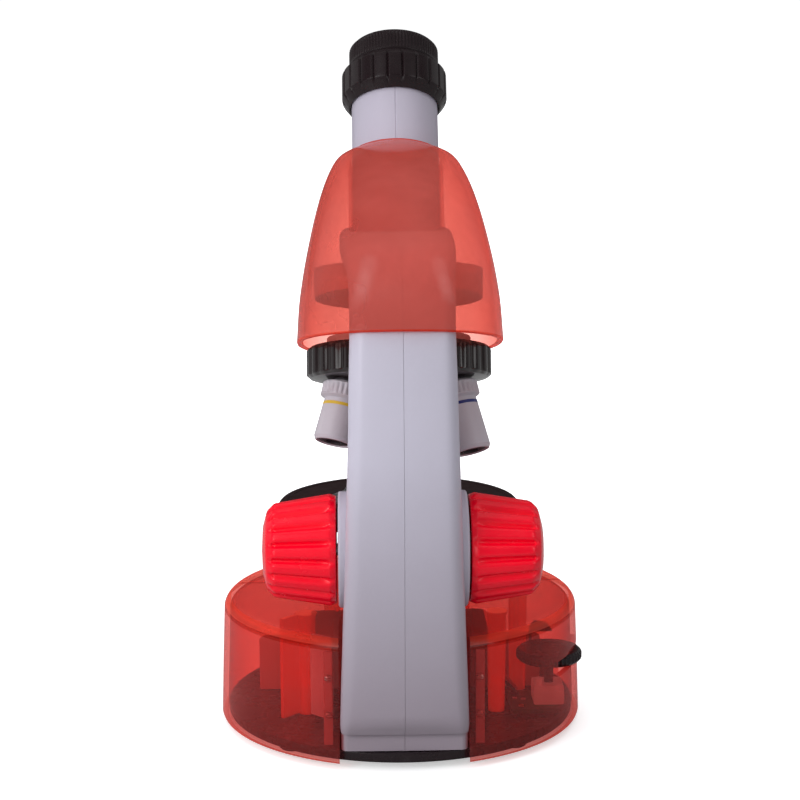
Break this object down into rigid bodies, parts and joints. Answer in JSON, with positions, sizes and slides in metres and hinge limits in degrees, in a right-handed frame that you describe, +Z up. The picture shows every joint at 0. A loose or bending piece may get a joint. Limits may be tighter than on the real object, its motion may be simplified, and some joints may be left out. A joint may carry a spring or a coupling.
{
  "type": "toy microscope",
  "caption": "Upright toy microscope: round translucent base with lamp, curved grey arm, red focus knobs, round stage, rotating nosepiece, translucent head cover and tilted zoom eyepiece.",
  "frame": {"origin": "on the table, at the bottom of the rubber feet, under the middle of the whole outline; the centre of the round base is 1.95 mm towards +Y from it", "axes": "+Z up; +Y towards the user, so the arm stands on the -Y side; +X along the focus shaft, towards the side with the light thumbwheel"},
  "size_m": [0.1234, 0.1287, 0.2338],
  "materials": {
    "grey_plastic": "satin moulded",
    "black_plastic": "semi-gloss moulded",
    "stage_black": "fine matt texture",
    "knob_red": "glossy moulded",
    "clear_red": "polished translucent",
    "clear_orange": "polished translucent",
    "optical_glass": "polished",
    "steel": "zinc plated",
    "brass": "turned",
    "rubber": "matt",
    "circuit_board": "solder mask",
    "white_plastic": "natural nylon",
    "battery_can": "printed sleeve",
    "led_epoxy": "clear epoxy",
    "wire_red": "PVC insulation",
    "wire_black": "PVC insulation"
  },
  "bodies": {
    "root": {"arm_left_shell": "grey_plastic", "arm_right_shell": "grey_plastic", "base_plate": "black_plastic", "base_screw_1": "steel", "base_screw_2": "steel", "base_screw_3": "steel", "base_screw_4": "steel", "base_shell": "clear_red", "battery_1": "battery_can", "battery_2": "battery_can", "battery_box": "black_plastic", "battery_door": "black_plastic", "battery_spring_1": "steel", "battery_spring_2": "steel", "battery_wire": "wire_red", "circuit_board": "circuit_board", "dimmer_body": "white_plastic", "door_screw": "steel", "focus_bush_left": "brass", "focus_bush_right": "brass", "head_cover": "clear_orange", "head_prism": "optical_glass", "lamp_board": "circuit_board", "lamp_housing": "black_plastic", "lamp_led": "led_epoxy", "lamp_lens": "optical_glass", "lamp_wire": "wire_black", "nosepiece_mount": "black_plastic", "rubber_foot_1": "rubber", "rubber_foot_2": "rubber", "rubber_foot_3": "rubber", "rubber_foot_4": "rubber", "turret_pivot": "steel"},
    "focus_drive": {"focus_shaft": "steel", "focus_pinion": "brass", "focus_knob_left": "knob_red", "focus_knob_right": "knob_red"},
    "stage": {"stage_plate": "stage_black", "stage_carrier": "black_plastic", "stage_rack": "white_plastic", "diaphragm_pin": "steel", "clip_screw_left": "steel", "clip_screw_right": "steel"},
    "diaphragm": {"diaphragm_disc": "black_plastic"},
    "clip_left": {"stage_clip_left": "steel"},
    "clip_right": {"stage_clip_right": "steel"},
    "turret": {"nosepiece": "black_plastic", "objective_4x": "grey_plastic", "objective_10x": "grey_plastic", "objective_40x": "grey_plastic", "objective_lens_4x": "optical_glass", "objective_lens_10x": "optical_glass", "objective_lens_40x": "optical_glass"},
    "zoom": {"zoom_ring": "black_plastic"},
    "eyepiece": {"eyepiece_barrel": "black_plastic", "eyepiece_cap": "black_plastic", "eye_lens": "optical_glass", "field_lens": "optical_glass"},
    "thumbwheel": {"light_thumbwheel": "black_plastic"}
  },
  "joints": [
    {"name": "focus_turn", "type": "hinge", "parent": "root", "child": "focus_drive", "pos_m": [0, -0.04005, 0.0685], "axis": [1, 0, 0], "range_deg": [-100, 157]},
    {"name": "stage_lift", "type": "slide", "parent": "root", "child": "stage", "axis": [0, 0, 1], "range_m": [-0.007, 0.011]},
    {"name": "turret_turn", "type": "hinge", "parent": "root", "child": "turret", "pos_m": [0, -0.00755, 0.1187], "axis": [0, 0.2588, 0.9659], "continuous": true},
    {"name": "zoom_turn", "type": "hinge", "parent": "root", "child": "zoom", "pos_m": [0, 0.0112, 0.157], "axis": [0, 0.5, 0.866], "range_deg": [0, 120]},
    {"name": "eyepiece_slide", "type": "slide", "parent": "root", "child": "eyepiece", "axis": [0, 0.5, 0.866], "range_m": [0, 0.006]},
    {"name": "diaphragm_turn", "type": "hinge", "parent": "stage", "child": "diaphragm", "pos_m": [0, 0.0242, 0.067], "axis": [0, 0, 1], "continuous": true},
    {"name": "clip_left_swing", "type": "hinge", "parent": "stage", "child": "clip_left", "pos_m": [-0.027, -0.00505, 0.0725], "axis": [0, 0, 1], "range_deg": [-15, 40]},
    {"name": "clip_right_swing", "type": "hinge", "parent": "stage", "child": "clip_right", "pos_m": [0.027, -0.00505, 0.0725], "axis": [0, 0, 1], "range_deg": [-40, 15]},
    {"name": "light_dimmer", "type": "hinge", "parent": "root", "child": "thumbwheel", "pos_m": [0.05015, -0.0129, 0.0244], "axis": [0, 0, 1], "range_deg": [0, 270]}
  ],
  "couplings": [
    {"joint": "stage_lift", "follows": "focus_turn", "m_per_rad": 0.004},
    {"joint": "eyepiece_slide", "follows": "zoom_turn", "m_per_rad": 0.00286}
  ]
}
